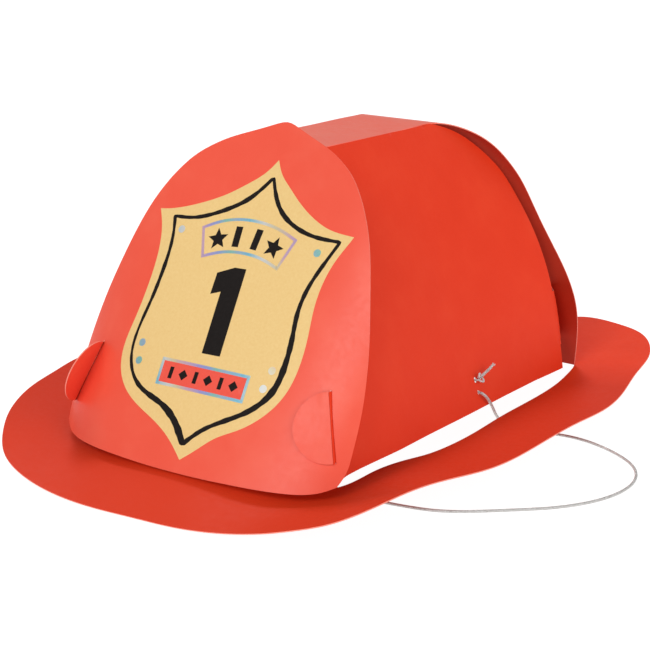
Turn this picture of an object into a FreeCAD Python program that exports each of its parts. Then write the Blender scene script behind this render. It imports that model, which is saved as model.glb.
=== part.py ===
"""Folded card party fire hat with an elastic chin cord.

Front faces -Y, +X is the side with the loose cord, +Z up, origin under the
middle of the hat on the plane that it stands on. Millimetres.
"""
import FreeCAD, Part
import os
import math
import Sketcher

V = FreeCAD.Vector
os.makedirs("parts", exist_ok=True)
doc = FreeCAD.newDocument("card_fire_hat")

# ---------------------------------------------------------------- sizes
sheet = doc.addObject("Spreadsheet::Sheet", "Sizes")
SIZES = [
    ("card_thickness", 0.5, "card stock"),
    ("offset_x", -0.98, "hat frame to part origin"),
    ("offset_y", 53.3, "hat frame to part origin"),
    ("offset_z", 0.24, "hat frame to part origin"),
    ("panel_lean", 33.4, "front panel from vertical, degrees"),
    ("panel_foot_y", -74.2, "front panel datum point"),
    ("panel_foot_z", 17.8, "front panel datum point"),
    ("panel_bend_low", 0.00232, "front panel curvature at its datum, 1/mm"),
    ("panel_bend_fall", 0.0000336, "loss of curvature per mm up"),
    ("panel_edge_curl", 0.00000115, "extra curl to the sides"),
    ("panel_half_width", 76.5, "widest"),
    ("strip_half_width", 20.0, "crown strip"),
    ("fold_gap", 0.05, "face to face at a crease"),
    ("side_belly", 5.0, "side panel bow, front and middle"),
    ("side_belly_rear", 9.0, "side panel bow added at the rear"),
    ("slit_width", 1.7, "slit for a lock tab"),
    ("front_tab_low", 25.4, "height of the lock tab's lower end"),
    ("front_tab_high", 51.6, "height of the lock tab's upper end"),
    ("front_tab_chord", 29.6, "D tab, along the slit"),
    ("front_tab_depth", 15.8, "D tab"),
    ("rear_neck_turn", 0.95, "sideways run per mm back, of the creased rear neck"),
    ("rear_tab_low", 28.0, "height of the rear tab's lower end"),
    ("rear_tab_high", 54.0, "height of the rear tab's upper end"),
    ("rear_tab_chord", 25.0, "D tab, along the slit"),
    ("rear_tab_depth", 12.0, "D tab"),
    ("tab_standoff", 1.15, "hinge line off the panel's middle"),
    ("tab_root_gap", 0.7, "neck end to hinge line"),
    ("tab_root_start", 0.32, "tab plate starts this far from the hinge line"),
    ("lying_gap", 0.1, "a lying tab's least distance from the panel"),
    ("left_tab_stand", 56.0, "left front tab's stored angle, degrees"),
    ("hole_diameter", 2.2, "punched cord hole"),
    ("cord_diameter", 1.3, "round elastic"),
    ("knot_diameter", 3.2, "overhand knot"),
    ("tail_end_diameter", 2.0, "frayed end"),
]
for row, (alias, value, note) in enumerate(SIZES, start=1):
    sheet.set("A%d" % row, alias)
    sheet.set("B%d" % row, repr(value))
    sheet.set("C%d" % row, note)
    sheet.setAlias("B%d" % row, alias)
doc.recompute()
S = dict((alias, float(getattr(sheet, alias))) for alias, _v, _n in SIZES)

T = S["card_thickness"]
OX, OY, OZ = S["offset_x"], S["offset_y"], S["offset_z"]
LEAN = math.radians(S["panel_lean"])
SL, CL = math.sin(LEAN), math.cos(LEAN)


def at(x, y, z):
    """A point given in the hat frame, moved to the part's origin."""
    return V(x - OX, y - OY, z - OZ)


# ---------------------------------------------------------------- curves
def lin(table, a):
    if a <= table[0][0]:
        return table[0][1]
    for p, q in zip(table, table[1:]):
        if a <= q[0]:
            return p[1] + (q[1] - p[1]) * (a - p[0]) / (q[0] - p[0])
    return table[-1][1]


def smooth(points, n):
    """n+1 points along a spline through the given 3-D points."""
    c = Part.BSplineCurve()
    c.interpolate([V(*p) for p in points])
    return [c.value(c.FirstParameter + (c.LastParameter - c.FirstParameter) * i / n) for i in range(n + 1)]


# ---------------------------------------------------------------- card sheets
def grid_normals(grid, ring=False):
    nu, nv = len(grid), len(grid[0])
    out = []
    for i in range(nu):
        row = []
        for j in range(nv):
            if ring:
                a = grid[(i + 1) % nu][j] - grid[(i - 1) % nu][j]
            else:
                a = grid[min(i + 1, nu - 1)][j] - grid[max(i - 1, 0)][j]
            b = grid[i][min(j + 1, nv - 1)] - grid[i][max(j - 1, 0)]
            n = a.cross(b)
            n.normalize()
            row.append(n)
        out.append(row)
    return out


def sheet_faces(grid, normals, t0, t1, edges):
    """Two spline faces through the grid moved along its normals, and ruled
    faces on the named edges."""
    faces, curves = [], []
    for t in (t0, t1):
        rows = [[p + n * t for p, n in zip(pr, nr)] for pr, nr in zip(grid, normals)]
        srf = Part.BSplineSurface()
        srf.interpolate(rows)
        u0, u1, v0, v1 = srf.bounds()
        faces.append(srf.toShape())
        curves.append({"u0": srf.uIso(u0), "u1": srf.uIso(u1), "v0": srf.vIso(v0), "v1": srf.vIso(v1)})
    for e in edges:
        faces.append(Part.makeRuledSurface(curves[0][e].toShape(), curves[1][e].toShape()))
    return faces


def sewn(faces):
    shell = Part.makeCompound(faces)
    shell.sewShape(0.001)
    solid = Part.Solid(shell.Shells[0])
    if solid.Volume < 0:
        solid.reverse()
    return solid


def sheet_solid(grid, t0=None, t1=None):
    """Closed card solid from a grid of points on its middle surface."""
    t0 = -T / 2 if t0 is None else t0
    t1 = T / 2 if t1 is None else t1
    return sewn(sheet_faces(grid, grid_normals(grid), t0, t1, ("u0", "u1", "v0", "v1")))


def outline(segments):
    """Closed wire: a segment of two points is straight, a longer one a spline."""
    edges = []
    for seg in segments:
        if len(seg) == 2:
            edges.append(Part.LineSegment(seg[0], seg[1]).toShape())
        else:
            c = Part.BSplineCurve()
            c.interpolate(seg)
            edges.append(c.toShape())
    return Part.Wire(edges)


def add(label, shape):
    o = doc.addObject("Part::Feature", label)
    o.Label = label
    o.Shape = shape
    return o


# ---------------------------------------------------------------- front panel
OUT = V(0, -CL, SL)    # the panel's outward normal at its middle
UP = V(0, SL, CL)      # up the panel


def panel(s, t, off=0.0):
    """Front panel: s across the card, t up it, off outwards."""
    k = S["panel_bend_low"] - S["panel_bend_fall"] * t
    n = 24
    h = s / n
    x = d = 0.0
    for i in range(n):
        u = (i + 0.5) * h
        th = k * u + S["panel_edge_curl"] * u ** 3
        x += math.cos(th) * h
        d += math.sin(th) * h
    th = k * s + S["panel_edge_curl"] * s ** 3
    x += off * math.sin(th)
    d -= off * math.cos(th)
    return at(x, S["panel_foot_y"] + CL * d + t * SL, S["panel_foot_z"] - SL * d + t * CL)


def on_panel(x, z, off=0.0):
    """Point of the front panel with the given x and z in the hat frame."""
    s, t = x, (z - S["panel_foot_z"]) / CL
    for _ in range(40):
        p = panel(s, t, off)
        ex, ez = x - (p.x + OX), z - (p.z + OZ)
        s += ex
        t += ez * 1.1
        if abs(ex) + abs(ez) < 1e-5:
            break
    return panel(s, t, off)


k_w = S["panel_half_width"] / 76.5
BOTTOM = [(0, -5.0), (14, -4.8), (28, -4.1), (41, -3.1), (53, -1.5), (62, 0.6), (69, 3.7), (74.3, 7.6)]
EDGE = [(74.3, 7.6), (76.1, 13), (76.5, 22), (75.6, 38), (73.2, 54.5), (70, 69), (67, 80), (63.4, 92.5),
        (59.1, 105.5), (54.6, 115.5), (50.6, 122.5)]
TOP = [(50.6, 122.5), (45.8, 129.2), (40.8, 134.7), (34.5, 139.6), (28, 143.6), (20, 147.3), (12, 150.6),
       (6, 153.2), (0, 154.9)]


def panel_line(table, sign):
    out = []
    for s, t in table:
        p = panel(sign * s * k_w, t)
        x = p.x + OX
        out.append(at(x, S["panel_foot_y"] + t * SL, S["panel_foot_z"] + t * CL) - OUT * 60)
    return out


bottom = panel_line(BOTTOM, -1)[::-1] + panel_line(BOTTOM, 1)[1:]
top = panel_line(TOP, 1) + panel_line(TOP, -1)[::-1][1:]
die = Part.Face(outline([bottom, panel_line(EDGE, 1), top, panel_line(EDGE, -1)[::-1]])).extrude(OUT * 100)
grid = [[panel(s, t) for t in [-12 + 15 * j for j in range(13)]] for s in [-84 + 8 * i for i in range(22)]]
panel_sheet = add("front_panel_sheet", sheet_solid(grid))
panel_die = add("front_panel_die", die)
panel_blank = doc.addObject("Part::Common", "front_panel_blank")
panel_blank.Base, panel_blank.Tool = panel_sheet, panel_die

# ---------------------------------------------------------------- side panels
SIDE_FOOT = [(-62, 73), (-49, 71), (-39, 71.2), (-25, 72.1), (-11, 73.0), (11, 73.5), (31, 74.1), (48, 74.7),
             (77, 75.3), (106, 76.2), (131.5, 78.3), (150, 80)]


def crown_z(y):
    return 138.9 - 0.033 * y


def neck_turn(y):
    """The neck of the rear lock tab is creased inwards behind the side panel's rear edge."""
    return S["rear_neck_turn"] * 0.35 * math.log1p(math.exp(min(60.0, (y - 131.5) / 0.35)))


def side_x(y, z):
    w = (z - 16.0) / (crown_z(y) - 16.0)
    foot = lin(SIDE_FOOT, y)
    belly = S["side_belly"] + S["side_belly_rear"] * max(0.0, (y - 50) / 80.0) ** 1.5
    return foot + (S["strip_half_width"] + 0.3 - foot) * w + belly * math.sin(math.pi * max(0.0, min(1.0, w))) - neck_turn(y)


def side(y, z, sign=1):
    return at(sign * side_x(y, z), y, z)


def meet(z, off):
    """y where the side sheet meets the front panel moved off outwards."""
    y = -50.0
    for _ in range(60):
        y += 0.7 * (on_panel(side_x(y, z), z, off).y + OY - y)
    return y


# ---------------------------------------------------------------- crown strip and rear panel
# half width, y and z along the strip from the front panel to the brim
STRIP = [(20, 6.2, 138.7), (20, 30, 137.7), (20, 60, 136.6), (20, 85, 136.0), (20.3, 100, 135.4),
         (22.5, 106, 134.6), (25.5, 112, 133.0), (29.5, 118, 130.4), (34.5, 124, 126.4), (39.5, 129, 121.0),
         (44.5, 133, 114.0), (49.5, 135.8, 106), (54, 137.6, 97), (58.5, 138.7, 88), (66, 139.6, 75),
         (74.5, 140.3, 60), (79.6, 141, 45), (80.3, 142, 30), (79, 143, 14.5)]
REAR_FROM = 4


def strip_grid(rows):
    k = S["strip_half_width"] / 20.0
    out = []
    for u in [-1 + 0.125 * i for i in range(17)]:
        line = []
        for w, y, z in rows:
            x = w * k * u
            low = max(0.0, 1 - z / 80.0) ** 1.6
            foot = 10.0 + 4.5 * u * u
            zz = z if z >= 60 else 60 - (60 - z) * (60 - foot) / (60 - 14.5)
            line.append(at(x, y + 19.3 * low * (1 - u * u), zz))
        out.append(line)
    return out


strip_line = smooth(STRIP, 54)
cut = min(range(len(strip_line)), key=lambda i: abs(strip_line[i].y - 100.0))
front_rows = [(p.x, p.y, p.z) for p in strip_line[:cut + 1]]
rear_rows = [(p.x, p.y, p.z) for p in strip_line[cut:]]
front_rows = front_rows[::2] if len(front_rows) % 2 else front_rows[:1] + front_rows[1::2]
add("top_panel", sheet_solid(strip_grid(front_rows)))
rear_sheet = add("rear_panel_sheet", sheet_solid(strip_grid(rear_rows[::2] if len(rear_rows) % 2 else rear_rows[:1] + rear_rows[1::2])))


def rear_y(x, z):
    """y of the rear panel's middle surface below its bend."""
    y = lin([(14.5, 143), (30, 142), (45, 141), (60, 140.3), (75, 139.6)], z)
    u = x / lin([(14.5, 79), (30, 80.3), (45, 79.6), (60, 74.5)], z)
    return y + 19.3 * max(0.0, 1 - z / 80.0) ** 1.6 * (1 - u * u)


# ---------------------------------------------------------------- slits
FT = (S["front_tab_low"], S["front_tab_high"])
RT = (S["rear_tab_low"], S["rear_tab_high"])


def slit(label, y0, y1, z0, z1, sign):
    n = 5
    g = [[side(y0 + (y1 - y0) * i / n, z0 + (z1 - z0) * j / n, sign) for j in range(n + 1)] for i in range(n + 1)]
    return add(label, sheet_solid(g, -S["slit_width"] / 2, S["slit_width"] / 2))


front_slits = doc.addObject("Part::MultiFuse", "front_slits")
front_slits.Shapes = [slit("front_slit_right", -64, -38, FT[0] - 0.6, FT[1] + 0.6, 1),
                      slit("front_slit_left", -64, -38, FT[0] - 0.6, FT[1] + 0.6, -1)]
front_panel = doc.addObject("Part::Cut", "front_panel")
front_panel.Label = "front_panel"
front_panel.Base, front_panel.Tool = panel_blank, front_slits

rear_slits = doc.addObject("Part::MultiFuse", "rear_slits")
rear_slits.Shapes = [slit("rear_slit_right", 135, 149, RT[0] - 0.6, RT[1] + 0.6, 1),
                     slit("rear_slit_left", 135, 149, RT[0] - 0.6, RT[1] + 0.6, -1)]
rear_panel = doc.addObject("Part::Cut", "rear_panel")
rear_panel.Label = "rear_panel"
rear_panel.Base, rear_panel.Tool = rear_sheet, rear_slits

# ---------------------------------------------------------------- hinge lines of the lock tabs
OFF = S["tab_standoff"]
front_hinge = [(meet(z, OFF), z) for z in FT]
rear_hinge = []
for z in RT:
    y = 142.0
    for _ in range(40):
        y = rear_y(side_x(y, z), z) + OFF
    rear_hinge.append((y, z))

# ---------------------------------------------------------------- side panel outlines
ROOT = S["tab_root_gap"]
FOOT_Z = [(131.3, 15.9), (106.4, 16.2), (76.6, 16.6), (48.3, 16.9), (31, 17.1), (11.4, 17.4), (-11, 17.6),
          (-25, 17.8), (-39, 18.0), (-49, 18.1)]
REAR_EDGE = [(100, 134.9), (106, 133.0), (112, 130.6), (118, 127.2), (122.5, 123.4), (127, 118), (130, 112.5),
             (131.5, 107), (132, 101), (132, 94), (131.6, 84), (131.1, 74), (130.5, 60)]
BACK = 0.8   # the side panel's front edge stays this far behind the front panel's middle


def front_edge(z):
    return meet(z, -BACK)


f_low = [(front_edge(18.2), 18.2), (front_edge(FT[0]), FT[0])]
f_high = [(front_edge(z), z) for z in (FT[1], 65, 80, 95, 110, 125, 137.9)]
top_front = f_high[-1]
segs = [
    [(131.3, 15.9)] + FOOT_Z[1:] + [f_low[0]],
    f_low,
    [f_low[1], (front_hinge[0][0] + ROOT, FT[0])],
    [(front_hinge[0][0] + ROOT, FT[0]), (front_hinge[1][0] + ROOT, FT[1])],
    [(front_hinge[1][0] + ROOT, FT[1]), f_high[0]],
    f_high,
    [top_front, (50, crown_z(50) - 0.62)],
    [(50, crown_z(50) - 0.62), REAR_EDGE[0]],
    REAR_EDGE,
    [REAR_EDGE[-1], (130.2, RT[1])],
    [(130.2, RT[1]), (rear_hinge[1][0] - ROOT, RT[1])],
    [(rear_hinge[1][0] - ROOT, RT[1]), (rear_hinge[0][0] - ROOT, RT[0])],
    [(rear_hinge[0][0] - ROOT, RT[0]), (130.6, RT[0])],
    [(130.6, RT[0]), (131.3, 15.9)],
]
HOLES = ((56.8, 29.3), (56.9, 23.7))
side_nodes = {}
for name, sign in (("right", 1), ("left", -1)):
    ys = [-66 + 9.0 * i for i in range(22)] + [127, 129, 130.3, 131, 131.6, 132.3, 133.3, 135, 138, 142, 147, 152]
    zs = [12 + 8.0 * i for i in range(17)]
    sh = add("side_sheet_" + name, sheet_solid([[side(y, z, sign) for z in zs] for y in ys]))
    wire = outline([[at(0, y, z) for y, z in seg] for seg in segs])
    dp = add("side_die_" + name, Part.Face(wire).extrude(V(sign * 120, 0, 0)))
    blank = doc.addObject("Part::Common", "side_blank_" + name)
    blank.Base, blank.Tool = sh, dp
    drills = []
    for i, (y, z) in enumerate(HOLES):
        c = doc.addObject("Part::Cylinder", "cord_hole_%s_%d" % (name, i))
        c.setExpression("Radius", "Sizes.hole_diameter / 2")
        c.Height = 12
        p = side(y, z, sign)
        c.Placement = FreeCAD.Placement(p - V(sign * 6, 0, 0), FreeCAD.Rotation(V(0, 0, 1), V(sign, 0, 0)))
        drills.append(c)
    both = doc.addObject("Part::MultiFuse", "cord_holes_" + name)
    both.Shapes = drills
    node = doc.addObject("Part::Cut", "side_panel_" + name)
    node.Label = "side_panel_" + name
    node.Base, node.Tool = blank, both
    side_nodes[name] = node

# ---------------------------------------------------------------- lock tabs


def clearance(q):
    """How far a point stands off the front panel's middle surface."""
    s, t = q.x + OX, (q.z + OZ - S["panel_foot_z"]) / CL
    for _ in range(12):
        p = panel(s, t)
        ds, dt = (panel(s + 0.1, t) - p) * 10.0, (panel(s, t + 0.1) - p) * 10.0
        d = q - p
        s += d.dot(ds) / ds.dot(ds)
        t += d.dot(dt) / dt.dot(dt)
    n = ds.cross(dt)
    n.normalize()
    return abs(d.dot(n)) if d.dot(n) * n.dot(OUT) > 0 else -abs(d.dot(n))


def lying(low, high, inward, depth, chord, out):
    """The flattest direction for a tab's plate that stays clear of the panel."""
    axis = high - low
    axis.normalize()
    mid = (low + high) * 0.5
    for i in range(120):
        turn = FreeCAD.Rotation(axis, 0.25 * i * out)
        d = turn.multVec(inward)
        d = d - axis * d.dot(axis)
        d.normalize()
        n = d.cross(axis)
        if n.dot(OUT) < 0:
            n = n * -1
        ok = True
        for a in (0.03, 0.2, 0.4, 0.6, 0.8, 1.0):
            reach = S[chord] / 2 * math.sqrt(max(0.0, 1 - a * a))
            for b in (-1, -0.5, 0, 0.5, 1):
                q = mid + d * (S[depth] * a) + axis * (reach * b) - n * (T / 2)
                if clearance(q) < T / 2 + S["lying_gap"]:
                    ok = False
        if ok:
            print("tab plate turned out", 0.25 * i, "degrees")
            return d
    raise SystemExit("no direction clears the panel")


def d_tab(name, chord, depth, low, high, inward, stand):
    """D-shaped card tab in its own body. Its straight side lies along the
    hinge line from low to high, its round side points along inward, turned
    out by stand degrees."""
    axis = high - low
    axis.normalize()
    flat = inward - axis * inward.dot(axis)
    flat.normalize()
    rot = FreeCAD.Rotation(flat, axis, flat.cross(axis), "XYZ")
    mid = (low + high) * 0.5
    body = doc.addObject("PartDesign::Body", name)
    body.Label = name
    xy = [f for f in body.Origin.OriginFeatures if f.Role == "XY_Plane"][0]
    sk = body.newObject("Sketcher::SketchObject", name + "_shape")
    sk.AttachmentSupport = [(xy, "")]
    sk.MapMode = "FlatFace"
    c, d, x0 = S[chord], S[depth], S["tab_root_start"]
    r = (c * c / 4 + d * d) / (2 * d)
    cx = x0 + d - r
    a = math.atan2(c / 2, x0 - cx)
    line = sk.addGeometry(Part.LineSegment(V(x0, -c / 2, 0), V(x0, c / 2, 0)), False)
    arc = sk.addGeometry(Part.ArcOfCircle(Part.Circle(V(cx, 0, 0), V(0, 0, 1), r), -a, a), False)
    con = Sketcher.Constraint
    sk.addConstraint(con("Coincident", line, 1, arc, 1))
    sk.addConstraint(con("Coincident", line, 2, arc, 2))
    i = sk.addConstraint(con("DistanceX", -1, 1, line, 1, x0))
    sk.setExpression("Constraints[%d]" % i, "Sizes.tab_root_start")
    i = sk.addConstraint(con("DistanceY", line, 1, line, 2, c))
    sk.setExpression("Constraints[%d]" % i, "Sizes.%s" % chord)
    sk.addConstraint(con("Vertical", line))
    i = sk.addConstraint(con("Radius", arc, r))
    sk.setExpression("Constraints[%d]" % i, "(Sizes.%s ^ 2 / 4 + Sizes.%s ^ 2) / (2 * Sizes.%s)" % (chord, depth, depth))
    sk.addConstraint(con("PointOnObject", arc, 3, -1))
    pad = body.newObject("PartDesign::Pad", name + "_card")
    pad.Profile = sk
    pad.setExpression("Length", "Sizes.card_thickness")
    turn = FreeCAD.Rotation(V(0, 1, 0), -stand)
    rot = rot.multiply(turn)
    n = rot.multVec(V(0, 0, 1))
    body.Placement = FreeCAD.Placement(mid - n * (T / 2), rot)
    return mid, axis, flat


tabs = {}
for name, sign in (("right", 1), ("left", -1)):
    lo, hi = [side(y, z, sign) for y, z in front_hinge]
    # along the panel towards its middle, leaning in a little to lie against the card
    p = on_panel(sign * 66.0, 38.0)
    q = on_panel(sign * 52.0, 38.0)
    inward = lying(lo, hi, q - p, "front_tab_depth", "front_tab_chord", sign)
    tabs["front_" + name] = (lo, hi, inward)
    rlo, rhi = [side(y, z, sign) for y, z in rear_hinge]
    p = at(sign * 67.0, rear_y(67.0, 41.0), 41.0)
    q = at(sign * 57.0, rear_y(57.0, 41.0), 41.0)
    tabs["rear_" + name] = (rlo, rhi, q - p)

hinges = {}
for key, (lo, hi, inward) in tabs.items():
    front = key.startswith("front")
    # the plate's normal has to point away from the card, so that a positive turn lifts it
    sign = 1 if key.endswith("right") else -1
    up = -sign if front else sign
    a, b = (lo, hi) if up > 0 else (hi, lo)
    stand = S["left_tab_stand"] if key == "front_left" else 0.0
    which = "front" if front else "rear"
    hinges[key] = d_tab("%s_lock_tab_%s" % tuple(key.split("_")), which + "_tab_chord", which + "_tab_depth",
                        a, b, inward, stand)
    m, ax, fl = hinges[key]
    print("hinge", key, "pos_m", [round(c / 1000, 6) for c in m], "axis", [round(-c, 5) for c in ax],
          "flat", [round(c, 3) for c in fl], "normal", [round(c, 3) for c in fl.cross(ax)])

# ---------------------------------------------------------------- glue tabs
OFFB = -(T / 2 + T / 2 + 0.02)
rows = []
for s in [-15 + 5 * i for i in range(7)]:
    rows.append([panel(s, t, OFFB) for t in (119, 125, 131, 137, 142.6)])
add("top_front_glue_tab", sheet_solid(rows))
rows = []
for s in [-30 + 6 * i for i in range(11)]:
    rows.append([panel(s, t, OFFB) for t in (-2.0, 4, 10, 16, 22)])
add("brim_front_glue_tab", sheet_solid(rows))

# ---------------------------------------------------------------- brim
BRIM = [
    ((0, -74.3, 12.6), (0, -100.0, 0.7)), ((17, -73.0, 12.2), (19, -98.8, 0.9)), ((33, -69.3, 11.4), (38, -95.5, 1.8)),
    ((48, -62.5, 10.7), (56, -91.0, 4.2)), ((58.5, -54, 10.2), (70, -88.0, 7.8)), ((64, -45, 10), (83.0, -81.5, 11.3)),
    ((66.0, -35, 10), (92, -69.5, 14.5)), ((66.6, -22, 10), (97, -50, 16)), ((70.4, -5, 10), (101.5, -24, 14.5)),
    ((75.3, 8, 10), (107.5, -1.5, 12.7)), ((78.2, 25, 10), (110.9, 20, 12)), ((79.1, 45, 10), (112.2, 45, 12)),
    ((78.9, 70, 10), (114.2, 74, 12.2)), ((79.9, 99, 10), (117.6, 98, 13)), ((80.2, 120, 10.6), (115.9, 121, 14.5)),
    ((79.6, 134, 12), (112.4, 143, 17)), ((78.8, 143.4, 14.4), (110.5, 161, 20)), ((69, 146.6, 13.3), (98, 183.5, 22)),
    ((52, 151.3, 11.8), (78, 195.5, 22)), ((34, 154.7, 10.7), (52, 203.5, 19.5)), ((17, 156.7, 10.1), (26, 207, 10.5)),
    ((0, 157.3, 9.9), (0, 208.3, 3.5)),
    ((-17, 156.7, 10.1), (-26, 208, 0.7)), ((-34, 154.7, 10.7), (-52, 203.5, 1.0)), ((-52, 151.3, 11.8), (-78, 194, 4)),
    ((-69, 146.6, 13.3), (-98, 180.5, 8)), ((-78.8, 143.4, 14.4), (-112, 158, 11)), ((-79.6, 134, 12), (-116.5, 140, 12)),
    ((-80.2, 120, 10.6), (-118, 120, 12.5)), ((-79.9, 99, 10), (-119, 97, 13.5)), ((-78.9, 70, 10), (-119, 70, 15.5)),
    ((-79.1, 45, 10), (-119, 45, 17.5)), ((-78.2, 25, 10), (-119, 22, 19.5)), ((-75.3, 8, 10), (-119.3, 0, 20.3)),
    ((-70.4, -5, 10), (-115.5, -20, 20)), ((-66.6, -22, 10), (-110, -44.5, 19)), ((-66, -35, 10), (-102, -64.5, 16.6)),
    ((-64, -45, 10), (-91.5, -80, 14.3)), ((-58.5, -54, 10.2), (-79.5, -92.5, 10)), ((-48, -62.5, 10.7), (-61, -100, 5.3)),
    ((-33, -69.3, 11.4), (-40, -101.8, 1.9)), ((-17, -73, 12.2), (-20, -101.4, 0.8)),
]


def loop(points, knots):
    """Closed smooth curve through the points at the given parameters."""
    c = Part.BSplineCurve()
    c.interpolate(Points=points, Parameters=knots, PeriodicFlag=True)
    return c


# both edges share one parameter, the mean distance run round the ring
pa = [at(*a) for a, _b in BRIM]
pb = [at(*b) for _a, b in BRIM]
knots = [0.0]
for i in range(len(BRIM)):
    j = (i + 1) % len(BRIM)
    knots.append(knots[-1] + (pa[j] - pa[i]).Length + (pb[j] - pb[i]).Length)
inner, outer = loop(pa, knots), loop(pb, knots)
ring = []
for k0, k1 in zip(knots, knots[1:]):
    for m in range(3):
        u = k0 + (k1 - k0) * m / 3.0
        p, q = inner.value(u), outer.value(u)
        ring.append([p + (q - p) * r for r in (0.0, 0.33, 0.67, 1.0)])
norms = grid_normals(ring, ring=True)
half = 63
faces = []
for ids in (list(range(0, half + 1)), list(range(half, len(ring))) + [0]):
    faces += sheet_faces([ring[i] for i in ids], [norms[i] for i in ids], -T / 2, T / 2, ("v0", "v1"))
add("brim", sewn(faces))

# ---------------------------------------------------------------- elastic


def rod(name, a, b, radius):
    c = doc.addObject("Part::Cylinder", name)
    c.setExpression("Radius", radius)
    d = b - a
    c.Height = d.Length
    c.Placement = FreeCAD.Placement(a, FreeCAD.Rotation(V(0, 0, 1), d))
    return c


def ball(name, p, radius):
    c = doc.addObject("Part::Sphere", name)
    c.setExpression("Radius", radius)
    c.Placement = FreeCAD.Placement(p, FreeCAD.Rotation())
    return c


exits = {}
for name, sign in (("right", 1), ("left", -1)):
    up_in, lo_in = [side(y, z, sign) - V(sign * 1.2, 0, 0) for y, z in HOLES]
    up_out, lo_out = [side(y, z, sign) + V(sign * 1.3, 0, 0) for y, z in HOLES]
    knot = up_out + V(sign * 0.7, 0, 0)
    tail = knot + V(sign * 6.0, 5.2, 7.6)
    half_cord = "Sizes.cord_diameter / 2"
    parts = [rod("elastic_in_" + name, lo_in, up_in, half_cord),
             rod("elastic_low_" + name, lo_in, lo_out - V(sign * 0.4, 0, 0), half_cord),
             rod("elastic_up_" + name, up_in, knot, half_cord),
             rod("elastic_tail_" + name, knot, tail, half_cord),
             ball("elastic_turn_low_" + name, lo_in, half_cord),
             ball("elastic_turn_up_" + name, up_in, half_cord),
             ball("elastic_overhand_" + name, knot, "Sizes.knot_diameter / 2"),
             ball("elastic_end_" + name, tail, "Sizes.tail_end_diameter / 2")]
    o = doc.addObject("Part::MultiFuse", "elastic_knot_" + name)
    o.Label = "elastic_knot_" + name
    o.Shapes = parts
    exits[name] = lo_out

ROUTE = [(75.7, 57.5, 23.0), (76.6, 62.4, 16.9), (75.9, 68.6, 9.2), (79.4, 73.2, 2.6), (87.5, 78.0, 1.1),
         (98.5, 83.0, 1.1), (113.5, 83.6, 1.1), (132, 76.9, 1.1), (147.6, 65.3, 1.1), (155.0, 48, 1.1),
         (152.7, 27, 1.1), (141, 7, 1.1), (122.5, -9.0, 1.1), (103.2, -24.4, 1.1), (84.5, -29.2, 1.1),
         (60, -31.0, 1.1), (30, -22, 1.1), (-2, -4, 1.1), (-32, 20, 1.1), (-56, 45, 1.1),
         (-69.5, 58.5, 2.0), (-75.9, 63.0, 9.2), (-78.2, 60.0, 17.3), (-76.9, 57.8, 22.4)]
route = [exits["right"]] + [at(*p) for p in ROUTE] + [exits["left"]]


def tube(points, diameter):
    """Round tube along straight runs joined by tangent arcs."""
    edges, radii, last = [], [], points[0]
    for a, b, c in zip(points, points[1:], points[2:]):
        u, w = a - b, c - b
        lu, lw = u.Length, w.Length
        u.normalize()
        w.normalize()
        turn = math.pi - math.acos(max(-1, min(1, u.dot(w))))
        short = min(lu, lw)
        r = 0.45 * short / math.tan(turn / 2)
        cut_back = 0.45 * short
        p, q = b + u * cut_back, b + w * cut_back
        bis = u + w
        bis.normalize()
        centre = b + bis * (r / math.cos(turn / 2))
        m = centre - bis * r
        if (p - last).Length > 1e-6:
            edges.append(Part.LineSegment(last, p).toShape())
        edges.append(Part.Arc(p, m, q).toShape())
        radii.append((round(r, 1), round(math.degrees(turn))))
        last = q
    edges.append(Part.LineSegment(last, points[-1]).toShape())
    path = Part.Wire(edges)
    d = points[1] - points[0]
    ring_edge = Part.Circle(points[0], d, diameter / 2).toShape()
    solid = path.makePipeShell([Part.Wire([ring_edge])], True, False)
    return solid, path, radii


cord, path, radii = tube(route, S["cord_diameter"])
add("elastic_cord", cord)
area = math.pi * S["cord_diameter"] ** 2 / 4
print("cord length %.1f mm, volume %.2f of %.2f" % (path.Length, cord.Volume, area * path.Length))
print("cord radii and turns", radii)
runs = [(b - a).Length for a, b in zip(route, route[1:])]
print("cord runs", [round(r, 1) for r in runs])
print("cord route m", [[round(c / 1000, 5) for c in p] for p in route])

# ---------------------------------------------------------------- test and write
NODES = ["brim", "brim_front_glue_tab", "front_panel", "top_panel", "top_front_glue_tab", "rear_panel",
         "side_panel_right", "side_panel_left", "front_lock_tab_right", "front_lock_tab_left",
         "rear_lock_tab_right", "rear_lock_tab_left", "elastic_knot_right", "elastic_knot_left", "elastic_cord"]
doc.recompute()
bad = [o.Name for o in doc.Objects if "Invalid" in o.State or "Error" in o.State]
if bad:
    raise SystemExit("failed features: %s" % bad)
by_label = dict((o.Label, o) for o in doc.Objects)
box = None
for label in NODES:
    shp = by_label[label].Shape
    if shp.isNull() or not shp.isValid() or not shp.Solids:
        raise SystemExit("bad shape: %s null=%s valid=%s" % (label, shp.isNull(), shp.isValid()))
    shp.exportStep("parts/%s.step" % label)
    b = shp.optimalBoundingBox(False)
    if label != "elastic_cord":
        box = b if box is None else box.united(b)
    print("%-24s solids %d volume %9.2f x %.1f..%.1f y %.1f..%.1f z %.2f..%.2f" % (
        label, len(shp.Solids), shp.Volume, b.XMin, b.XMax, b.YMin, b.YMax, b.ZMin, b.ZMax))
print("box", [round(v, 2) for v in (box.XMin, box.XMax, box.YMin, box.YMax, box.ZMin, box.ZMax)])
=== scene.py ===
import math
import bpy
import numpy as np
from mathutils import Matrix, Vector
from mathutils.geometry import delaunay_2d_cdt


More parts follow.
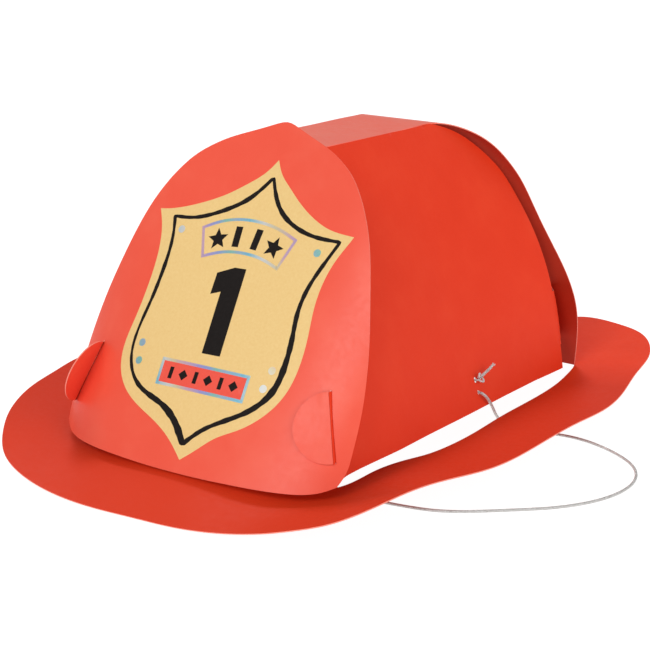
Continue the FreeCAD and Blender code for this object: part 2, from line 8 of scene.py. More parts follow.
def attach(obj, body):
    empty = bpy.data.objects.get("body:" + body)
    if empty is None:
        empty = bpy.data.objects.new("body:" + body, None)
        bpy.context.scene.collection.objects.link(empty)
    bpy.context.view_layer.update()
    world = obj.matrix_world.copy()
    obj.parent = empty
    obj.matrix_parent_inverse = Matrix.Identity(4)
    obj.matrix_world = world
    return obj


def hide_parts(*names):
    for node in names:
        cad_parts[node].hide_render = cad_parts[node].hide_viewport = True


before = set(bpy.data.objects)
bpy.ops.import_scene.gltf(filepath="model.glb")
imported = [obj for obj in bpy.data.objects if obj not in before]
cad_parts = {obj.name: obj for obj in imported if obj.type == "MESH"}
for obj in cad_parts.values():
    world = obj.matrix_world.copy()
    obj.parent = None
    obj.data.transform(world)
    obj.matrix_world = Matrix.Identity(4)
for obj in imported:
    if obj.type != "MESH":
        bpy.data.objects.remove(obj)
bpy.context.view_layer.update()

scene = bpy.context.scene
OFFSET = np.array((-0.98, 53.3, 0.24))


def at(p):
    """Hat frame in millimetres to the part's frame in metres."""
    return (np.asarray(p, float) - OFFSET) * 0.001


def link(name, data):
    o = bpy.data.objects.new(name, data)
    scene.collection.objects.link(o)
    return o


# ------------------------------------------------------------ camera
cam = bpy.data.cameras.new("camera")
cam.lens = 94.154
cam.sensor_width = 36.0
cam.clip_start = 0.01
cam.clip_end = 60.0
camera = link("camera", cam)
camera.location = (0.42397, -0.64069, 0.27872)
camera.rotation_mode = "QUATERNION"
camera.rotation_quaternion = (Vector((0.02878, -0.0548, 0.06266)) - camera.location).to_track_quat("-Z", "Y")
scene.camera = camera

# ------------------------------------------------------------ cord
EXIT = (73.75, 56.9, 23.7)
ROUTE = [EXIT, (75.7, 57.5, 23.0), (76.6, 62.4, 16.9), (75.9, 68.6, 9.2), (79.4, 73.2, 2.6), (87.5, 78.0, 1.1),
         (98.5, 83.0, 1.1), (113.5, 83.6, 1.1), (132, 76.9, 1.1), (147.6, 65.3, 1.1), (155.0, 48, 1.1),
         (152.7, 27, 1.1), (141, 7, 1.1), (122.5, -9.0, 1.1), (103.2, -24.4, 1.1), (84.5, -29.2, 1.1),
         (60, -31.0, 1.1), (30, -22, 1.1), (-2, -4, 1.1), (-32, 20, 1.1), (-56, 45, 1.1),
         (-69.5, 58.5, 2.0), (-75.9, 63.0, 9.2), (-78.2, 60.0, 17.3), (-76.9, 57.8, 22.4), (-73.75, 56.9, 23.7)]


def nurbs(name, points, bevel):
    cu = bpy.data.curves.new(name, "CURVE")
    cu.dimensions = "3D"
    sp = cu.splines.new("NURBS")
    sp.points.add(len(points) - 1)
    for q, p in zip(sp.points, points):
        q.co = (*at(p), 1.0)
    sp.order_u = 3
    sp.use_endpoint_u = True
    cu.resolution_u = 14
    cu.bevel_depth = bevel
    cu.bevel_resolution = 4
    cu.use_fill_caps = bevel > 0
    return cu


cord = link("elastic_cord_core", nurbs("elastic_cord_core", ROUTE, 0.00065))


def route_line(points):
    """The points that a NURBS spline through these control points runs along, in millimetres."""
    tmp = link("route_tmp", nurbs("route_tmp", points, 0.0))
    bpy.context.view_layer.update()
    me = bpy.data.meshes.new_from_object(tmp.evaluated_get(bpy.context.evaluated_depsgraph_get()))
    line = np.array([v.co[:] for v in me.vertices]) * 1000.0
    bpy.data.objects.remove(tmp)
    bpy.data.meshes.remove(me)
    return line


# ------------------------------------------------------------ small numerical helpers
def spline(points, loop=False):
    """Smooth curve through the points, as a function of run length. Returns it and the knots."""
    v = np.asarray(points, float)
    if loop:
        v = np.vstack([v, v[:1]])
    k = np.concatenate([[0.0], np.cumsum(np.linalg.norm(np.diff(v, axis=0), axis=1))])
    return cubic(k, v, loop), k


def cubic(k, v, loop=False):
    v = np.asarray(v, float)
    n, h = len(k), np.diff(k)
    a, b = np.zeros((n, n)), np.zeros(v.shape)
    for i in range(1, n - 1):
        a[i, i - 1:i + 2] = h[i - 1], 2 * (h[i - 1] + h[i]), h[i]
        b[i] = 6 * ((v[i + 1] - v[i]) / h[i] - (v[i] - v[i - 1]) / h[i - 1])
    if loop:
        a[0, 0], a[0, -1] = 1, -1
        a[-1, 0], a[-1, 1] = 2 * h[0], h[0]
        a[-1, -2], a[-1, -1] = h[-1], 2 * h[-1]
        b[-1] = 6 * ((v[1] - v[0]) / h[0] - (v[-1] - v[-2]) / h[-1])
    else:
        a[0, 0] = a[-1, -1] = 1
    m = np.linalg.solve(a, b)

    def ev(x):
        x = np.asarray(x, float)
        i = np.clip(np.searchsorted(k, x) - 1, 0, n - 2)
        hh = h[i][..., None]
        p, q = (k[i + 1] - x)[..., None], (x - k[i])[..., None]
        return m[i] * p ** 3 / (6 * hh) + m[i + 1] * q ** 3 / (6 * hh) + \
            (v[i] / hh - m[i] * hh / 6) * p + (v[i + 1] / hh - m[i + 1] * hh / 6) * q
    return ev


def through(points, step, loop=False):
    ev, k = spline(points, loop)
    n = max(2, int(round(k[-1] / step)))
    out = ev(np.linspace(0, k[-1], n + 1))
    return out[:-1] if loop else out


def straight(points, step):
    out = []
    for a, b in zip(points, points[1:]):
        a, b = np.asarray(a, float), np.asarray(b, float)
        n = max(1, int(round(np.linalg.norm(b - a) / step)))
        out += [a + (b - a) * i / n for i in range(n)]
    return np.array(out + [np.asarray(points[-1], float)])


def joined(*parts):
    """One closed outline from runs that share their end points."""
    out = []
    for p in parts:
        out += [tuple(q) for q in p[:-1]]
    return np.array(out)


def inside(poly, pts):
    x, y = pts[:, 0], pts[:, 1]
    ok = np.zeros(len(pts), bool)
    for (x0, y0), (x1, y1) in zip(poly, np.roll(poly, -1, 0)):
        if y0 == y1:
            continue
        ok ^= ((y0 > y) != (y1 > y)) & (x < (x1 - x0) * (y - y0) / (y1 - y0) + x0)
    return ok


def ripple(p, size, seed=0.0):
    """Slow, smooth, repeatable variation between about -1 and 1."""
    x, y, z = (p[..., i] / size for i in range(3))
    return (np.sin(2.1 * x + 1.7 * y + seed) * np.cos(1.3 * z - 0.8 * x + 2.3 * seed)
            + 0.5 * np.sin(3.7 * y - 2.9 * z + 1.9 * seed) * np.cos(3.1 * x + 0.6 * seed)) / 1.5


# ------------------------------------------------------------ card sheets
CARD = 0.5


def frames(fmap, uv, flip=False):
    """Points and outward normals of a surface at the 2-D points."""
    e = 0.05
    u, v = uv[:, 0], uv[:, 1]
    p = fmap(u, v)
    n = np.cross(fmap(u + e, v) - fmap(u - e, v), fmap(u, v + e) - fmap(u, v - e))
    n /= np.linalg.norm(n, axis=1)[:, None]
    return p, -n if flip else n


def solid_sheet(name, pts, faces, p, n, t0, t1, rim, mats, flip):
    """Closed thin solid from triangles or quads over 2-D points."""
    m = len(pts)
    vs = np.vstack([p + n * t1, p + n * t0])
    top = [tuple(f[::-1]) if flip else tuple(f) for f in faces]
    out, kind = list(top), [0] * len(top)
    out += [tuple(i + m for i in f[::-1]) for f in top]
    kind += [1] * len(top)
    edges = {}
    for f in top:
        for a, b in zip(f, f[1:] + f[:1]):
            edges[(a, b)] = True
    border = [e for e in edges if (e[1], e[0]) not in edges]
    for a, b in border:
        out.append((b, a, a + m, b + m))
        mid = (np.asarray(pts[a]) + np.asarray(pts[b])) / 2
        kind.append(rim(mid[0], mid[1]) if callable(rim) else rim)
    me = bpy.data.meshes.new(name)
    me.from_pydata([tuple(q) for q in at(vs)], [], out)
    for mt in mats:
        me.materials.append(mt)
    me.polygons.foreach_set("material_index", [min(k, len(mats) - 1) for k in kind])
    me.polygons.foreach_set("use_smooth", [True] * len(out))
    sharp = set()
    for a, b in border:
        sharp.add((min(a, b), max(a, b)))
        sharp.add((min(a, b) + m, max(a, b) + m))
    me.update(calc_edges=True)
    keys = [tuple(sorted(e.vertices)) in sharp for e in me.edges]
    me.attributes.new("sharp_edge", "BOOLEAN", "EDGE").data.foreach_set("value", keys)
    me.validate()
    o = link(name, me)
    return o


def cut_sheet(name, outline, holes, fmap, step, mats, t0=-CARD / 2, t1=CARD / 2, rim=2, flip=False):
    """Card of any outline with holes, laid on a curved surface."""
    outline = np.asarray(outline, float)
    holes = [np.asarray(h, float) for h in holes]
    lo, hi = outline.min(0), outline.max(0)
    gx = np.arange(lo[0], hi[0] + step, step)
    gy = np.arange(lo[1], hi[1] + step, step * 0.87)
    g = np.array([(x + (0.5 * step if j % 2 else 0), y) for j, y in enumerate(gy) for x in gx])
    ok = inside(outline, g)
    rings = np.vstack([outline] + holes)
    for h in holes:
        ok &= ~inside(h, g)
    g = g[ok]
    d = np.min(np.linalg.norm(g[:, None, :] - rings[None, :, :], axis=2), axis=1)
    g = g[d > 0.5 * step]
    coords, edges, base = [], [], 0
    for r in [outline] + holes:
        coords += [Vector((float(a), float(b))) for a, b in r]
        k = len(r)
        edges += [(base + i, base + (i + 1) % k) for i in range(k)]
        base += k
    coords += [Vector((float(a), float(b))) for a, b in g]
    v2, _e, f2, _ov, _oe, _of = delaunay_2d_cdt(coords, edges, [], 0, 1e-5)
    uv = np.array([c[:] for c in v2])
    tri = np.array([list(f) for f in f2])
    cen = uv[tri].mean(1)
    keep = inside(outline, cen)
    for h in holes:
        keep &= ~inside(h, cen)
    tri = tri[keep]
    a, b, c = uv[tri[:, 0]], uv[tri[:, 1]], uv[tri[:, 2]]
    area = (b[:, 0] - a[:, 0]) * (c[:, 1] - a[:, 1]) - (b[:, 1] - a[:, 1]) * (c[:, 0] - a[:, 0])
    tri = tri[np.abs(area) > 1e-7]
    area = area[np.abs(area) > 1e-7]
    tri[area < 0] = tri[area < 0][:, ::-1]
    used = np.unique(tri)
    remap = -np.ones(len(uv), int)
    remap[used] = np.arange(len(used))
    uv, tri = uv[used], remap[tri]
    p, n = frames(fmap, uv, flip)
    return solid_sheet(name, uv, [tuple(int(i) for i in t) for t in tri], p, n, t0, t1, rim, mats, flip)


def ribbon(name, left, right, fmap, mats, t0, t1, closed=False):
    """Closed thin strip between two 2-D lines of the same length, such as a drawn line."""
    m = len(left)
    uv = np.vstack([left, right])
    faces = [(i, i + m, (i + 1) % m + m, (i + 1) % m) for i in range(m if closed else m - 1)]
    a, b, c = (uv[faces[0][k]] for k in range(3))
    if (b[0] - a[0]) * (c[1] - a[1]) - (b[1] - a[1]) * (c[0] - a[0]) < 0:
        faces = [f[::-1] for f in faces]
    p, n = frames(fmap, uv)
    return solid_sheet(name, uv, faces, p, n, t0, t1, 0, mats, False)


def sides_of(line, width, closed=False):
    """Left and right edges of a line drawn with a varying width."""
    line = np.asarray(line, float)
    if closed:
        d = np.roll(line, -1, 0) - np.roll(line, 1, 0)
    else:
        d = np.gradient(line, axis=0)
    d /= np.linalg.norm(d, axis=1)[:, None]
    nrm = np.stack([-d[:, 1], d[:, 0]], 1)
    w = np.asarray(width, float).reshape(-1, 1) / 2
    return line + nrm * w, line - nrm * w


# ------------------------------------------------------------ surfaces of the hat
LEAN = math.radians(33.4)
SL, CL = math.sin(LEAN), math.cos(LEAN)


def panel(s, t, off=0.0):
    """Front panel: s across the card, t up it, off outwards."""
    s, t = np.asarray(s, float), np.asarray(t, float)
    k = 0.00232 - 0.0000336 * t
    x = d = np.zeros(np.broadcast(s, t).shape)
    n = 24
    h = s / n
    for i in range(n):
        u = (i + 0.5) * h
        th = k * u + 0.00000115 * u ** 3
        x = x + np.cos(th) * h
        d = d + np.sin(th) * h
    th = k * s + 0.00000115 * s ** 3
    x = x + off * np.sin(th)
    d = d - off * np.cos(th)
    return np.stack([x, -74.2 + CL * d + t * SL, 17.8 - SL * d + t * CL], -1)


def on_panel(x, z, off=0.0):
    s, t = x, (z - 17.8) / CL
    for _ in range(40):
        p = panel(s, t, off)
        s += x - p[0]
        t += (z - p[2]) * 1.1
    return s, t


SIDE_FOOT = np.array([(-62, 73), (-49, 71), (-39, 71.2), (-25, 72.1), (-11, 73.0), (11, 73.5), (31, 74.1), (48, 74.7),
                      (77, 75.3), (106, 76.2), (131.5, 78.3), (150, 80)])


def crown_z(y):
    return 138.9 - 0.033 * y


def neck_turn(y):
    """The neck of the rear lock tab is creased inwards behind the side panel's rear edge."""
    return 0.95 * 0.35 * np.log1p(np.exp(np.minimum(60.0, (y - 131.5) / 0.35)))


def side_x(y, z):
    w = (z - 16.0) / (crown_z(y) - 16.0)
    foot = np.interp(y, SIDE_FOOT[:, 0], SIDE_FOOT[:, 1])
    belly = 5.0 + 9.0 * np.maximum(0.0, (y - 50) / 80.0) ** 1.5
    return foot + (20.3 - foot) * w + belly * np.sin(math.pi * np.clip(w, 0, 1)) - neck_turn(y)


def meet(z, off):
    y = -50.0
    for _ in range(60):
        s, t = on_panel(float(side_x(y, z)), z, off)
        y += 0.7 * (panel(s, t, off)[1] - y)
    return y


def wall(sign):
    def f(y, z):
        return np.stack([sign * side_x(y, z), y + 0 * z, z + 0 * y], -1)
    return f


STRIP = [(20, 6.2, 138.7), (20, 30, 137.7), (20, 60, 136.6), (20, 85, 136.0), (20.3, 100, 135.4),
         (22.5, 106, 134.6), (25.5, 112, 133.0), (29.5, 118, 130.4), (34.5, 124, 126.4), (39.5, 129, 121.0),
         (44.5, 133, 114.0), (49.5, 135.8, 106), (54, 137.6, 97), (58.5, 138.7, 88), (66, 139.6, 75),
         (74.5, 140.3, 60), (79.6, 141, 45), (80.3, 142, 30), (79, 143, 14.5)]
strip_at, strip_k = spline(STRIP)


def strip(a, b):
    """Crown strip and rear panel: a across, b along from the front."""
    a, b = np.asarray(a, float), np.asarray(b, float)
    w, y, z = np.moveaxis(strip_at(b), -1, 0)
    u = a / w
    low = np.maximum(0.0, 1 - z / 80.0) ** 1.6
    foot = 10.0 + 4.5 * u * u
    zz = np.where(z >= 60, z, 60 - (60 - z) * (60 - foot) / (60 - 14.5))
    return np.stack([a, y + 19.3 * low * (1 - u * u), zz], -1)


def solve2(fmap, goal, guess, comps=(0, 2)):
    """2-D point whose place on the surface has the goal's two coordinates."""
    g = np.array(guess, float)
    c = list(comps)
    for _ in range(40):
        p = fmap(g[0], g[1])[c]
        j = np.stack([(fmap(g[0] + 0.01, g[1])[c] - p) / 0.01, (fmap(g[0], g[1] + 0.01)[c] - p) / 0.01], 1)
        step = np.linalg.solve(j, np.asarray(goal) - p)
        g += np.clip(step, -8, 8)
    return g


# ------------------------------------------------------------ materials
def rgb(code, k=1.0):
    out = []
    for i in (0, 2, 4):
        c = int(code[i:i + 2], 16) / 255.0
        c = c / 12.92 if c <= 0.04045 else ((c + 0.055) / 1.055) ** 2.4
        out.append(min(1.0, c * k))
    return (*out, 1.0)


def material(name):
    m = bpy.data.materials.new(name)
    m.use_nodes = True
    nt = m.node_tree
    b = nt.nodes["Principled BSDF"]
    tc = nt.nodes.new("ShaderNodeTexCoord")
    return m, nt, b, tc.outputs["Object"]


def noise(nt, vec, scale, detail=4.0, rough=0.6, stretch=None):
    if stretch:
        mp = nt.nodes.new("ShaderNodeMapping")
        mp.inputs["Scale"].default_value = stretch
        nt.links.new(vec, mp.inputs["Vector"])
        vec = mp.outputs["Vector"]
    n = nt.nodes.new("ShaderNodeTexNoise")
    n.inputs["Scale"].default_value = scale
    n.inputs["Detail"].default_value = detail
    n.inputs["Roughness"].default_value = rough
    nt.links.new(vec, n.inputs["Vector"])
    return n.outputs["Fac"]


def ramp(nt, fac, stops):
    r = nt.nodes.new("ShaderNodeValToRGB")
    e = r.color_ramp.elements
    while len(e) < len(stops):
        e.new(0.5)
    for el, (pos, col) in zip(e, stops):
        el.position = pos
        el.color = col
    nt.links.new(fac, r.inputs["Fac"])
    return r.outputs["Color"]


def spread(nt, fac, lo, hi):
    r = nt.nodes.new("ShaderNodeMapRange")
    r.inputs["From Min"].default_value = 0.3
    r.inputs["From Max"].default_value = 0.7
    r.inputs["To Min"].default_value = lo
    r.inputs["To Max"].default_value = hi
    nt.links.new(fac, r.inputs["Value"])
    return r.outputs["Result"]


def mix(nt, fac, a, b):
    m = nt.nodes.new("ShaderNodeMix")
    m.data_type = "RGBA"
    for sock, val in ((m.inputs[0], fac), (m.inputs[6], a), (m.inputs[7], b)):
        if hasattr(val, "links"):
            nt.links.new(val, sock)
        else:
            sock.default_value = val
    return m.outputs[2]


def bump(nt, b, height, strength, distance):
    n = nt.nodes.new("ShaderNodeBump")
    n.inputs["Strength"].default_value = strength
    n.inputs["Distance"].default_value = distance
    nt.links.new(height, n.inputs["Height"])
    nt.links.new(n.outputs["Normal"], b.inputs["Normal"])


def card(name, low, mid, high, rough=(0.40, 0.50), sheen_coat=0.0, level=0.45, painted_shading=None):
    """Coated card stock: even ink, faint mottle, fibres that show in the gloss. The optional painted_shading entry
    (axis, start, end, colour) paints light and shade: the given colour up to start along that object axis, blending
    into the card colours by end.
    """
    m, nt, b, vec = material(name)
    mottle = noise(nt, vec, 46.0, 3.0, 0.55)
    fibre = noise(nt, vec, 1500.0, 3.0, 0.7, (1.0, 0.35, 1.0))
    col = ramp(nt, mottle, [(0.30, rgb(low)), (0.5, rgb(mid)), (0.72, rgb(high))])
    col = mix(nt, spread(nt, fibre, 0.0, 0.30), col, rgb(high))
    # painted light and shade: blend to another colour along one object axis
    if painted_shading:
        parts = nt.nodes.new("ShaderNodeSeparateXYZ")
        nt.links.new(vec, parts.inputs["Vector"])
        r = nt.nodes.new("ShaderNodeMapRange")
        r.inputs["From Min"].default_value = painted_shading[1]
        r.inputs["From Max"].default_value = painted_shading[2]
        nt.links.new(parts.outputs[painted_shading[0]], r.inputs["Value"])
        col = mix(nt, r.outputs["Result"], rgb(painted_shading[3]), col)
    nt.links.new(col, b.inputs["Base Color"])
    nt.links.new(spread(nt, noise(nt, vec, 420.0, 4.0), rough[0], rough[1]), b.inputs["Roughness"])
    b.inputs["Specular IOR Level"].default_value = level
    b.inputs["Coat Weight"].default_value = sheen_coat
    b.inputs["Coat Roughness"].default_value = 0.35
    bump(nt, b, fibre, 0.25, 0.00004)
    return m


RED = card("red_card", "E8391A", "EA3B1C", "ED4121", (0.46, 0.56), 0.0, 0.14)
# painted shade: the brim is the same red card, painted darker (DA3A1B) towards its front below object y 0.070 and left
# plain at the lit rear beyond y 0.098
BRIM_RED_PAINTED_SHADE = card("red_card_brim_painted_shade", "F0401E", "F24321", "F64826", (0.46, 0.58), 0.0, 0.12,
                ("Y", 0.070, 0.098, "DA3A1B"))
# painted light: the crown strip and rear panel are the same red card as the sides, painted as a lighter coral near the
# top where the top light falls, blending to the plain red (EA3B1C) below object z 0.100
CROWN_PAINTED_LIGHT = card("red_card_crown_painted_light", "FF6248", "FF684E", "FF7056", (0.36, 0.46), 0.15, 0.4, ("Z", 0.100, 0.134, "EA3B1C"))
# painted shade: the card is the same red on both faces; its inside face gets this darker copy because it lies in shade
RED_INSIDE_PAINTED_SHADE = card("red_card_inside_painted_shade", "A82A16", "AC2C18", "B2311C", (0.60, 0.70), 0.0, 0.12)
CORAL = card("coral_card", "EE5038", "F0533B", "F25C44", (0.34, 0.44), 0.0, 0.45)


def cut_edge():
    m, nt, b, vec = material("card_cut_edge")
    f = noise(nt, vec, 2600.0, 4.0, 0.7)
    nt.links.new(ramp(nt, f, [(0.3, rgb("EE7360")), (0.5, rgb("F58E7B")), (0.75, rgb("FBB3A4"))]),
                 b.inputs["Base Color"])
    b.inputs["Roughness"].default_value = 0.8
    bump(nt, b, f, 0.5, 0.00008)
    return m


EDGE_MAT = cut_edge()


def ink(name, low, high, rough=(0.42, 0.55), level=0.4):
    m, nt, b, vec = material(name)
    f = noise(nt, vec, 900.0, 5.0, 0.7)
    nt.links.new(ramp(nt, f, [(0.3, rgb(low)), (0.7, rgb(high))]), b.inputs["Base Color"])
    nt.links.new(spread(nt, noise(nt, vec, 420.0, 4.0), rough[0], rough[1]), b.inputs["Roughness"])
    b.inputs["Specular IOR Level"].default_value = level
    bump(nt, b, f, 0.2, 0.00003)
    return m


TAN = ink("print_tan", "E9C27C", "EECB88")
BLACK = ink("print_black", "100A08", "191210", (0.6, 0.75), 0.18)
PLATE = ink("print_red", "EC4E3C", "EF5846")


def foil(name, turn, shift):
    """Hot-stamped foil whose pale colours run in soft bands across the card."""
    m, nt, b, vec = material(name)
    mp = nt.nodes.new("ShaderNodeMapping")
    mp.inputs["Rotation"].default_value = (0.0, 0.0, turn)
    mp.inputs["Location"].default_value = (shift, 0.0, 0.0)
    mp.inputs["Scale"].default_value = (21.0, 10.0, 14.0)
    nt.links.new(vec, mp.inputs["Vector"])
    dot = nt.nodes.new("ShaderNodeVectorMath")
    dot.operation = "DOT_PRODUCT"
    nt.links.new(mp.outputs["Vector"], dot.inputs[0])
    dot.inputs[1].default_value = (1.0, 0.0, 0.55)
    wob = nt.nodes.new("ShaderNodeMath")
    wob.operation = "ADD"
    nt.links.new(dot.outputs["Value"], wob.inputs[0])
    nt.links.new(spread(nt, noise(nt, vec, 30.0, 2.0), 0.0, 0.25), wob.inputs[1])
    fr = nt.nodes.new("ShaderNodeMath")
    fr.operation = "FRACT"
    nt.links.new(wob.outputs["Value"], fr.inputs[0])
    col = ramp(nt, fr.outputs["Value"], [
        (0.0, rgb("A9C9E6")), (0.14, rgb("7FD4F0")), (0.28, rgb("F4F4F0")), (0.40, rgb("F3E3B8")),
        (0.50, rgb("E8B8D0")), (0.62, rgb("B4A8EC")), (0.76, rgb("9CB4F0")), (0.88, rgb("8FD8C8")),
        (1.0, rgb("A9C9E6"))])
    grain = noise(nt, vec, 2200.0, 2.0)
    nt.links.new(mix(nt, spread(nt, grain, 0.0, 0.18), col, rgb("FFFFFF")), b.inputs["Base Color"])
    b.inputs["Metallic"].default_value = 0.72
    b.inputs["Roughness"].default_value = 0.32
    bump(nt, b, grain, 0.2, 0.00003)
    return m


FOIL = foil("print_foil", 0.0, 0.15)


def lame(name, dark, mid, light):
    """Metallised thread over a rubber core: narrow bright filaments with dark gaps."""
    m, nt, b, vec = material(name)
    f = noise(nt, vec, 3600.0, 3.0, 0.75)
    nt.links.new(ramp(nt, f, [(0.34, rgb(dark)), (0.47, rgb(mid)), (0.62, rgb(light))]), b.inputs["Base Color"])
    b.inputs["Metallic"].default_value = 0.15
    nt.links.new(spread(nt, noise(nt, vec, 1700.0, 2.0), 0.22, 0.45), b.inputs["Roughness"])
    bump(nt, b, f, 0.6, 0.0001)
    return m


LAME = lame("silver_lame", "6A6663", "C4C1BE", "FFFFFF")
LAME_DARK = lame("silver_lame_core", "7E7A77", "B0ADAA", "DEDCD9")


def own(o, body, slot, *nodes):
    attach(o, body)
    if nodes:
        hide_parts(*nodes)
    return o


# ------------------------------------------------------------ front panel
BOTTOM = [(0, -5.0), (14, -4.8), (28, -4.1), (41, -3.1), (53, -1.5), (62, 0.6), (69, 3.7), (74.3, 7.6)]
EDGE = [(74.3, 7.6), (76.1, 13), (76.5, 22), (75.6, 38), (73.2, 54.5), (70, 69), (67, 80), (63.4, 92.5),
        (59.1, 105.5), (54.6, 115.5), (50.6, 122.5)]
TOP = [(50.6, 122.5), (45.8, 129.2), (40.8, 134.7), (34.5, 139.6), (28, 143.6), (20, 147.3), (12, 150.6),
       (6, 153.2), (0, 154.9)]
mirror = lambda t: [(-a, b) for a, b in t]
panel_outline = joined(through(mirror(BOTTOM)[::-1] + BOTTOM[1:], 2.2), through(EDGE, 2.2),
                       through(TOP + mirror(TOP)[::-1][1:], 2.2), through(mirror(EDGE)[::-1], 2.2))
FT, RT = (25.4, 51.6), (28.0, 54.0)


def front_slit(sign):
    mid = []
    for z in np.linspace(FT[0] - 0.15, FT[1] + 0.15, 12):
        y = meet(float(z), 0.0)
        mid.append(on_panel(float(side_x(y, z)), float(z)))
    l, r = sides_of(mid, [0.8] * len(mid))
    return np.vstack([l, r[::-1]]) * (sign, 1)


own(cut_sheet("front_panel_card", panel_outline, [front_slit(1), front_slit(-1)], panel, 2.6,
              [CORAL, RED_INSIDE_PAINTED_SHADE, EDGE_MAT]), "hat", "coral_card", "front_panel")

# ------------------------------------------------------------ crown strip and rear panel in one piece
b_end = strip_k[-1]
b_bend = strip_k[4]
bs = np.linspace(0, b_end, 110)


def strip_edge(b):
    w = strip_at(b)[..., 0]
    return w + np.where(b < b_bend, 0.42, 0.42 * np.clip(1 - (b - b_bend) / 12.0, 0, 1))


right_edge = np.stack([strip_edge(bs), bs], 1)
strip_outline = joined(straight([(-right_edge[0, 0], 0), (right_edge[0, 0], 0)], 2.2), right_edge,
                       straight([(right_edge[-1, 0], b_end), (-right_edge[-1, 0], b_end)], 2.2),
                       (right_edge * (-1, 1))[::-1])


def rear_hit(z):
    """Place on the strip where the side sheet passes through it."""
    y, g = 142.0, (70.0, b_end - 25)
    for _ in range(25):
        x = float(side_x(y, z))
        g = solve2(strip, (x, z), g)
        y = float(strip(g[0], g[1])[1])
    return g, y


rear_line = [rear_hit(float(z)) for z in np.linspace(RT[0] - 0.15, RT[1] + 0.15, 13)]
l_, r_ = sides_of([g for g, _y in rear_line], [0.9] * 13)
rear_slit = np.vstack([l_, r_[::-1]])
own(cut_sheet("crown_strip_card", strip_outline, [rear_slit, rear_slit * (-1, 1)], strip, 2.6,
              [CROWN_PAINTED_LIGHT, RED_INSIDE_PAINTED_SHADE, EDGE_MAT], rim=lambda a, b: 0 if b < b_bend + 4 or b > b_end - 0.5 else 2),
    "hat", "red_card", "top_panel", "rear_panel")

# ------------------------------------------------------------ side panels
front_hinge = [(meet(z, 1.15), z) for z in FT]
rear_hinge = []
for z in RT:
    g, y = rear_hit(z)
    for _ in range(20):
        y = float(strip(*solve2(strip, (float(side_x(y, z)), z), g))[1]) + 1.15
    rear_hinge.append((y, z))
FOOT_Z = [(131.3, 15.9), (106.4, 16.2), (76.6, 16.6), (48.3, 16.9), (31, 17.1), (11.4, 17.4), (-11, 17.6),
          (-25, 17.8), (-39, 18.0), (-49, 18.1)]
REAR_EDGE = [(100, 134.9), (106, 133.0), (112, 130.6), (118, 127.2), (122.5, 123.4), (127, 118), (130, 112.5),
             (131.5, 107), (132, 101), (132, 94), (131.6, 84), (131.1, 74), (130.5, 60)]
fe = lambda z: (meet(z, -0.62), z)
f_low = [fe(18.2), fe(FT[0])]
f_high = [fe(z) for z in (FT[1], 65, 80, 95, 110, 125, 138.2)]
tf = f_high[-1]
TOP_GAP = 0.28
side_outline = joined(
    through(FOOT_Z + [f_low[0]], 2.2), straight(f_low, 2.0),
    straight([f_low[1], (front_hinge[0][0], FT[0])], 1.0),
    straight([(front_hinge[0][0], FT[0]), (front_hinge[1][0], FT[1])], 2.0),
    straight([(front_hinge[1][0], FT[1]), f_high[0]], 1.0),
    through(f_high, 2.2),
    straight([tf, (tf[0] + 1.0, float(crown_z(tf[0] + 1.0)) - TOP_GAP)], 1.0),
    straight([(tf[0] + 1.0, float(crown_z(tf[0] + 1.0)) - TOP_GAP), (50, crown_z(50) - TOP_GAP),
              (97, crown_z(97) - TOP_GAP), REAR_EDGE[0]], 2.2),
    through(REAR_EDGE, 2.2),
    straight([REAR_EDGE[-1], (130.2, RT[1])], 2.0),
    straight([(130.2, RT[1]), (rear_hinge[1][0], RT[1])], 1.0),
    straight([(rear_hinge[1][0], RT[1]), (rear_hinge[0][0], RT[0])], 2.0),
    straight([(rear_hinge[0][0], RT[0]), (130.6, RT[0])], 1.0),
    straight([(130.6, RT[0]), (131.3, 15.9)], 2.0))
HOLES = ((56.8, 29.3), (56.9, 23.7))


def punched(c, r, n=20, tall=1.0):
    return [(c[0] + r * math.cos(2 * math.pi * i / n), c[1] + tall * r * math.sin(2 * math.pi * i / n)) for i in range(n)]


side_holes = [punched(HOLES[0], 1.05, 20, 1.25), punched(HOLES[1], 0.95)]
crease = lambda y, z: 0 if z > crown_z(y) - 1.2 and y < 99 else 2
for name, sign in (("right", 1), ("left", -1)):
    own(cut_sheet("side_panel_card_" + name, side_outline, side_holes, wall(sign), 2.6, [RED, RED_INSIDE_PAINTED_SHADE, EDGE_MAT],
                  rim=crease, flip=sign < 0), "hat", "red_card", "side_panel_" + name)

